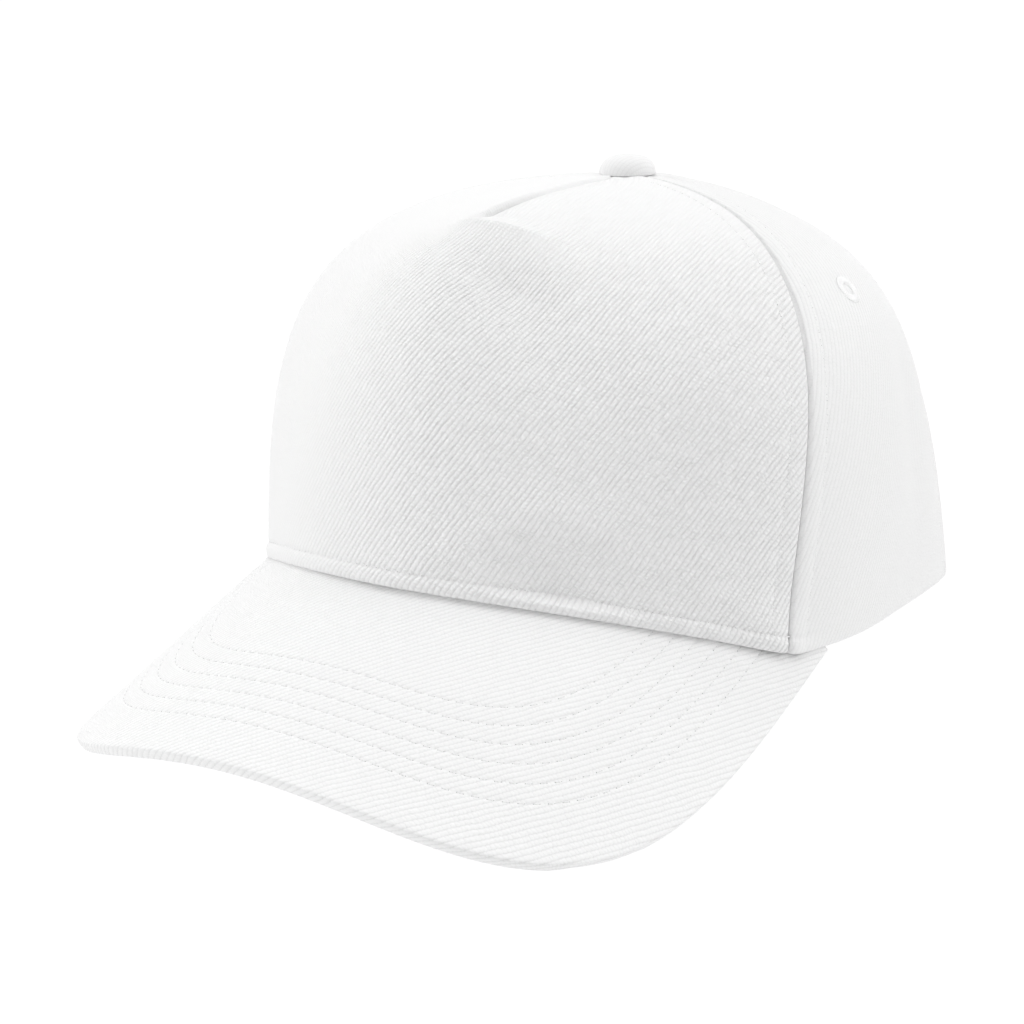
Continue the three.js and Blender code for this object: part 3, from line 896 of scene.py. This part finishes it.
COVER_MARGIN = 10
COVER_WIDTH = 2 * (PEAK_HALF + COVER_MARGIN)
COVER_BACK = PEAK_BACK - COVER_MARGIN
COVER_FRONT = PEAK_LENGTH + COVER_MARGIN
COVER_PULL = 350.0  # radius to which the cover's wales are pulled over the bend
COVER_MIDDLE = 35.0


def cover_place(u, v):
    return peak_top(COVER_WIDTH * (u - 0.5), COVER_BACK + (COVER_FRONT - COVER_BACK) * v)


board_cut = unrolled(cover_place)


def peak_cut(u, v):
    """Where the cover's cloth comes from: the top laid out with its edge, and the underside like the top."""
    row = v * (len(section) + FLANGE - 1) - FLANGE
    member = np.clip(np.round(row), 0, len(section) - 1).astype(int)
    under = row > len(top_rows) + len(edge_rows) - 1
    angle = 90 * (2 * u - 1)
    limit = root_at(angle)
    inset = np.minimum(np.where(under, section[member, 0], cut_insets[member]), limit)
    flange = np.clip(np.round(row) + FLANGE, 0, FLANGE).astype(int)
    inset = np.where(row < 0, limit + flange_runs[flange], inset)
    across, forward = peak_outline(angle, inset)
    cut = board_cut(across / COVER_WIDTH + 0.5, (forward - COVER_BACK) / (COVER_FRONT - COVER_BACK))
    radius = COVER_PULL - (cut[:, 1] - COVER_MIDDLE)
    fan = cut[:, 0] / COVER_PULL
    return np.stack([radius * np.sin(fan), COVER_PULL - radius * np.cos(fan)], axis=-1) * MM


grid = shaped_grid(PEAK_COLUMNS, len(section) + FLANGE - 1, peak_place, peak_cut)
bmesh.ops.remove_doubles(grid, verts=grid.verts[:], dist=0.02 * MM)
open_edges = [edge for edge in grid.edges if edge.is_boundary]
bmesh.ops.holes_fill(grid, edges=open_edges, sides=0)
bmesh.ops.recalc_face_normals(grid, faces=grid.faces[:])
print("open edges of the peak after closing:", sum(edge.is_boundary for edge in grid.edges))
finish_piece("peak", grid, peak_twill, "peak_twill", "peak")

# %% [markdown]
# Topstitching is real thread here. One stitch is a small capsule, bent so that its ends dive into the
# cloth, and a row is that stitch set down again and again along a line on the surface.

# %% Stitches
STITCH_LENGTH = 2.5
STITCH_PITCH = 3.2
STITCH_DIVE = 0.30
STITCH_SIDES = 6
# the dark ends are painted shade where the thread dives into the cloth
STITCH_ENDS = 0.3  # share of the length from the middle to where the dark ends start
THREAD_WIDTH = 0.36
THREAD_PRESSED = 0.8  # height of the pressed thread, of its width
THREAD_LIFT = 0.05


def one_stitch():
    """A stitch along X in millimetres, as a mesh to copy. Its ends are bent down, and their faces take
    the second material, the dark one that paints the shade of the needle holes."""
    stitch = bmesh.new()
    bmesh.ops.create_uvsphere(stitch, u_segments=STITCH_SIDES, v_segments=STITCH_SIDES, radius=1.0,
                              calc_uvs=False)
    lie_down = Matrix.Rotation(math.pi / 2, 3, "Y")
    bmesh.ops.rotate(stitch, verts=stitch.verts[:], cent=(0, 0, 0), matrix=lie_down)
    for vert in stitch.verts:
        along = vert.co.x
        vert.co.x = along * STITCH_LENGTH / 2
        vert.co.y *= THREAD_WIDTH / 2
        vert.co.z = vert.co.z * THREAD_WIDTH / 2 * THREAD_PRESSED - STITCH_DIVE * along**2
    for face in stitch.faces:
        face.material_index = int(abs(face.calc_center_median().x) > STITCH_LENGTH * STITCH_ENDS)
    return to_mesh("one_stitch", stitch)


stitch_mesh = one_stitch()


def runs_along(points):
    """How far along a line of points each of them is."""
    steps = np.linalg.norm(np.diff(points, axis=0), axis=1)
    return np.concatenate([[0], np.cumsum(steps)])


def sew(seams, path, normals):
    """Sets stitches down along a path of points in millimetres."""
    run = runs_along(path)
    for centre in np.arange(STITCH_PITCH / 2, run[-1] - STITCH_PITCH / 2, STITCH_PITCH):
        ends = [np.array([np.interp(centre + half, run, path[:, axis]) for axis in range(3)])
                for half in (-STITCH_LENGTH / 2, 0, STITCH_LENGTH / 2)]
        normal = np.array([np.interp(centre, run, normals[:, axis]) for axis in range(3)])
        forward = Vector(ends[2] - ends[0]).normalized()
        up = Vector(normal).normalized()
        side = up.cross(forward).normalized()
        up = forward.cross(side)
        turn = Matrix((forward, side, up)).transposed().to_4x4()
        spot = to_table(ends[1]) / MM
        before = len(seams.verts)
        seams.from_mesh(stitch_mesh)
        seams.verts.ensure_lookup_table()
        placed = Matrix.Scale(MM, 4) @ Matrix.Translation(Vector(spot)) @ turn
        bmesh.ops.transform(seams, matrix=placed, verts=seams.verts[before:])


def crown_row(seams, degrees, share, depth):
    """A row of stitches on the crown's cloth, riding in its own groove."""
    path = crown_cloth(degrees, share, depth)
    normals = crown_normal(degrees, share)
    sew(seams, path + normals * THREAD_LIFT, normals)


crown_seams = bmesh.new()
SEAM_ROW_TOP = 0.93
SEAM_ROW_POINTS = 160
SEAM_ROWS = (
    # the seam, the share it starts at, and the ridges on its front and back side
    (FRONT_SEAM, 0.025, FRONT_RIDGE, SIDE_RIDGE),
    (BACK_SEAM, 0.02, BACK_RIDGE, BACK_RIDGE),
)
for seam, low, before, behind in SEAM_ROWS:
    for wearer_side in (1, -1):
        for side, ridge in ((-1, before), (1, behind)):
            share = np.linspace(low, SEAM_ROW_TOP, SEAM_ROW_POINTS)
            line = seam_angle(seam, share)
            offset = np.degrees(STITCH_LINE / plan_radius(smooth_crown(line, share))) * side
            depth = np.full_like(share, float(seam_depth(np.array(STITCH_LINE), ridge)))
            crown_row(crown_seams, (line + offset) * wearer_side, share, depth)
finish_piece("crown_stitches", crown_seams, thread, "thread", ends=thread_end_painted_shade)

hem_seam = bmesh.new()
HEM_ROW_HALF = 60
HEM_ROW_POINTS = 240
HEM_ROW_DEEPEST = 0.5  # the row bridges the slots of the seams
hem_angles = np.linspace(-HEM_ROW_HALF, HEM_ROW_HALF, HEM_ROW_POINTS)
hem_shares = hem_share(hem_angles) + HEM_STITCH / (3 * column("rise", hem_angles))
to_seam = np.abs(np.abs(hem_angles) - seam_angle(FRONT_SEAM, hem_shares))
from_seam = np.radians(to_seam) * column("reach", hem_angles)
hem_seam_depths = np.minimum(seam_depth(from_seam, FRONT_RIDGE), HEM_ROW_DEEPEST)
crown_row(hem_seam, hem_angles, hem_shares, hem_seam_depths)
finish_piece("hem_stitches", hem_seam, thread, "thread", ends=thread_end_painted_shade)

peak_seams = bmesh.new()
PEAK_ROW_HALF = 88
PEAK_ROW_POINTS = 400
PEAK_ROW_HIDDEN = 1  # how far a row goes on behind the hem
for row in range(PEAK_STITCH_ROWS):
    inset = PEAK_STITCH_FIRST + row * PEAK_STITCH_PITCH
    angles = np.linspace(-PEAK_ROW_HALF, PEAK_ROW_HALF, PEAK_ROW_POINTS)
    angles = angles[root_at(angles) > inset - PEAK_ROW_HIDDEN]
    flat = peak_outline(angles, inset)
    normal = peak_normal(*flat)
    sew(peak_seams, peak_top(*flat) - normal * (PEAK_PULL - THREAD_LIFT), normal)
finish_piece("peak_stitches", peak_seams, peak_thread_painted_shade, "thread", ends=thread_end_painted_shade)

# %% [markdown]
# The button is a pressed metal shell covered in the same twill, so it is one turned form: a flattened
# dome that tucks in sharply at its foot. A spin of its profile makes it.

# %% The button
BUTTON_RADIUS = 7.1
BUTTON_HEIGHT = 5.2
BUTTON_WAIST = 0.12
BUTTON_SINK = 0.66
BUTTON_TUCK = 0.12  # how far the profile stops short of a full half turn at its foot
BUTTON_POINTS = 30
ROUND_FOOT = 0.8  # powers that swell a half circle to the profile, under the waist and over it
ROUND_DOME = 0.65
SPIN_STEPS = 64


def spun(profile, steps=SPIN_STEPS):
    """A profile of (radius, height) millimetres turned once round Z."""
    shape = bmesh.new()
    verts = [shape.verts.new((radius, 0, height)) for radius, height in profile]
    edges = [shape.edges.new(pair) for pair in zip(verts, verts[1:])]
    bmesh.ops.spin(shape, geom=verts + edges, cent=(0, 0, 0), axis=(0, 0, 1), dvec=(0, 0, 0),
                   angle=2 * math.pi, steps=steps, use_merge=True, use_duplicate=False)
    bmesh.ops.remove_doubles(shape, verts=shape.verts[:], dist=1e-4)
    bmesh.ops.recalc_face_normals(shape, faces=shape.faces[:])
    return shape


def button_profile():
    waist = BUTTON_HEIGHT * BUTTON_WAIST
    points = [(0.0, 0.0)]
    for turn in np.linspace(-math.pi / 2 + BUTTON_TUCK, math.pi / 2, BUTTON_POINTS)[:-1]:
        half, roundness = (waist, ROUND_FOOT) if turn < 0 else (BUTTON_HEIGHT - waist, ROUND_DOME)
        points.append((BUTTON_RADIUS * math.cos(turn) ** roundness, waist + half * math.sin(turn)))
    return points + [(0.0, BUTTON_HEIGHT)]


profile = np.array(button_profile())
from_top = runs_along(profile[::-1])[::-1]
button = spun(profile)
cut_map = button.loops.layers.uv.new("cut")
for face in button.faces:
    for loop in face.loops:
        x, y, z = loop.vert.co
        nearest = np.argmin(np.hypot(profile[:, 0] - math.hypot(x, y), profile[:, 1] - z))
        run = from_top[nearest] / max(math.hypot(x, y), 1e-6)
        loop[cut_map].uv = (x * run * MM, y * run * MM)
foot = Vector((float(CROWN_AXIS[0]), float(CROWN_AXIS[1]), (CROWN_TOP - SETTLE - BUTTON_SINK) * MM))
bmesh.ops.transform(button, matrix=Matrix.Translation(foot) @ Matrix.Scale(MM, 4), verts=button.verts[:])
finish_piece("button", button, button_twill, "trim_twill", "button")

# %% [markdown]
# Each eyelet is bound with satin stitch: close loops of thread that run round it. A ring with a ripple
# for each thread gives that, set on the panel and leaning with it. The panels are whole sheets here, so
# cloth shows in the middle of each ring.

# %% The eyelets
EYELET_RADIUS = 3.7
EYELET_HOLE = 1.4
EYELET_HEIGHT = 0.7
EYELET_RIPPLE = 0.06
EYELET_SINK = 0.05
EYELETS = {"side": (79, 0.53), "back": (150, 0.53)}  # polar angle and share
EYELET_THREADS = 34
STEPS_PER_THREAD = 6
EYELET_SIDES = 12


def eyelet_ring():
    half = (EYELET_RADIUS - EYELET_HOLE) / 2
    middle = EYELET_HOLE + half
    turns = np.linspace(0, 2 * math.pi, EYELET_SIDES + 1)
    section_points = [(middle + half * math.cos(t), EYELET_HEIGHT / 2 * math.sin(t)) for t in turns]
    ring = spun(section_points, EYELET_THREADS * STEPS_PER_THREAD)
    for vert in ring.verts:
        angle = math.atan2(vert.co.y, vert.co.x)
        vert.co.z += EYELET_RIPPLE * math.cos(EYELET_THREADS * angle) * (1 if vert.co.z > 0 else 0)
    return ring


def set_eyelet(name, degrees, share):
    ring = eyelet_ring()
    spot = smooth_crown(np.array([degrees]), np.array([share]))[0]
    normal = crown_normal(np.array([degrees]), np.array([share]))[0]
    depth = float(dent_depth(np.array([degrees]), np.array([share]))[0])
    spot = to_table(spot - normal * (depth + EYELET_SINK))
    turn = Vector((0, 0, 1)).rotation_difference(Vector(normal)).to_matrix().to_4x4()
    placed = Matrix.Translation(Vector(spot)) @ turn @ Matrix.Scale(MM, 4)
    bmesh.ops.transform(ring, matrix=placed, verts=ring.verts[:])
    finish_piece(name, ring, thread, "thread", name)


for place, (degrees, share) in EYELETS.items():
    set_eyelet(f"{place}_eyelet_left", degrees, share)
    set_eyelet(f"{place}_eyelet_right", -degrees, share)

# %% [markdown]
# The strap that closes the opening is a plain folded band of the same cloth. It lies behind the back
# panels at both ends.

# %% The strap
STRAP_HALF_ANGLE = 26
STRAP_HEIGHT = 20
STRAP_THICKNESS = 1.6
STRAP_INSET = 1.9
STRAP_TURN = 0.8
STRAP_STITCH_LINE = 2.4
STRAP_PULL = 0.25
STRAP_PULL_HALF = 0.5
STRAP_GRID = (90, 48)


def strap_place(u, v):
    degrees = 180 + STRAP_HALF_ANGLE * (2 * u - 1)
    high_share = np.full_like(u, OPENING_SHARE)
    no_share = np.zeros_like(u)
    low = smooth_crown(degrees, no_share) - crown_normal(degrees, no_share) * STRAP_INSET
    low[:, 2] = hem_height(degrees, STRAP_INSET)
    rise = smooth_crown(degrees, high_share) - crown_normal(degrees, high_share) * STRAP_INSET - low
    up = unit(rise)
    from_edge = np.minimum(v, 1 - v) * STRAP_HEIGHT
    round_edge = turned_edge(from_edge, STRAP_TURN)
    pulled = STRAP_PULL * bell(from_edge - STRAP_STITCH_LINE, STRAP_PULL_HALF)
    spots = low + up * (v * STRAP_HEIGHT)[:, None]
    spots = spots - crown_normal(degrees, no_share) * (round_edge + pulled)[:, None]
    return to_table(spots)


def strap_cut(u, v):
    length = np.radians(2 * STRAP_HALF_ANGLE) * MERIDIANS["reach"][-1]
    return np.stack([u * length, v * STRAP_HEIGHT], axis=-1) * MM


grid = shaped_grid(*STRAP_GRID, strap_place, strap_cut)
thicken(finish_piece("back_strap", grid, trim_twill, "trim_twill", "back_strap"), STRAP_THICKNESS)

# %% [markdown]
# The photo shows no shadow on the ground, so the floor is a light table: a dark sheet that glows white.
# The room is white too. Six broad lights stand round the cap: one above, one in front, two low ones at the
# wearer's right and left, and two higher ones behind. Their powers set the tone of each side of the cap.

# %% Stage, lights and camera
FLOOR_HALF = 8.0  # metres
FLOOR_GLOW = 0.94
ROOM_LIGHT = 0.42
scene = bpy.context.scene
scene.view_settings.view_transform = "Standard"


def light_table():
    grid = bmesh.new()
    bmesh.ops.create_grid(grid, x_segments=1, y_segments=1, size=FLOOR_HALF)
    floor = add_object("floor", to_mesh("floor", grid))
    paint, _ = new_material("floor_paint", Base_Color=grey(0.1), Roughness=0.9, Specular_IOR_Level=0.0,
                            Emission_Color=grey(1), Emission_Strength=FLOOR_GLOW)
    floor.data.materials.append(paint)


light_table()

CAMERA_AZIMUTH = math.radians(36.3)
CAMERA_ELEVATION = math.radians(14.9)
CAMERA_ROLL = math.radians(-1.0)
CAMERA_DISTANCE = 0.614
CAMERA_TARGET = Vector((-0.0378, float(CROWN_AXIS[1]), 0.0304))
LENS = 79.65
back = Vector((math.sin(CAMERA_AZIMUTH) * math.cos(CAMERA_ELEVATION),
               -math.cos(CAMERA_AZIMUTH) * math.cos(CAMERA_ELEVATION),
               math.sin(CAMERA_ELEVATION)))
level_right = Vector((math.cos(CAMERA_AZIMUTH), math.sin(CAMERA_AZIMUTH), 0))
level_up = back.cross(level_right)
right = level_right * math.cos(CAMERA_ROLL) + level_up * math.sin(CAMERA_ROLL)
up = level_up * math.cos(CAMERA_ROLL) - level_right * math.sin(CAMERA_ROLL)
camera_data = bpy.data.cameras.new("camera")
camera_data.lens = LENS
camera_data.sensor_width = 36
camera = add_object("camera", camera_data)
camera.matrix_world = Matrix.Translation(CAMERA_TARGET + back * CAMERA_DISTANCE) @ Matrix(
    (right, up, back)).transposed().to_4x4()
scene.camera = camera


SOFTNESS = math.radians(50)  # how wide each light looks from the cap


def soft_light(name, azimuth, elevation, power):
    """A broad light from one side; azimuth 0 shines on the front and 90 on the wearer's left."""
    a, e = math.radians(azimuth), math.radians(elevation)
    away = Vector((math.sin(a) * math.cos(e), -math.cos(a) * math.cos(e), math.sin(e)))
    data = bpy.data.lights.new(name, "SUN")
    data.angle = SOFTNESS
    data.energy = power
    light = add_object(name, data)
    light.matrix_world = away.to_track_quat("Z", "Y").to_matrix().to_4x4()


LIGHTS = [
    # name, azimuth, elevation and power
    ("top", 0, 88, 1.27),
    ("front", 0, 35, 0.13),
    ("low_right", -60, 10, 1.2),
    ("low_left", 120, 10, 0.43),
    ("back_left", 120, 35, 0.62),
    ("back_right", -150, 35, 0.48),
]
for light in LIGHTS:
    soft_light(*light)

world = bpy.data.worlds.new("white_room")
world.use_nodes = True
scene.world = world
room = world.node_tree
background = room.nodes["Background"]
background.inputs["Color"].default_value = grey(1)
background.inputs["Strength"].default_value = ROOM_LIGHT
seen = add_node(room, "Background", Color=grey(1))  # what the camera itself sees is plain white
is_seen = add_node(room, "LightPath").outputs["Is Camera Ray"]
either = add_node(room, "MixShader", Fac=is_seen)
room.links.new(background.outputs[0], either.inputs[1])
room.links.new(seen.outputs[0], either.inputs[2])
room.links.new(either.outputs[0], room.nodes["World Output"].inputs["Surface"])
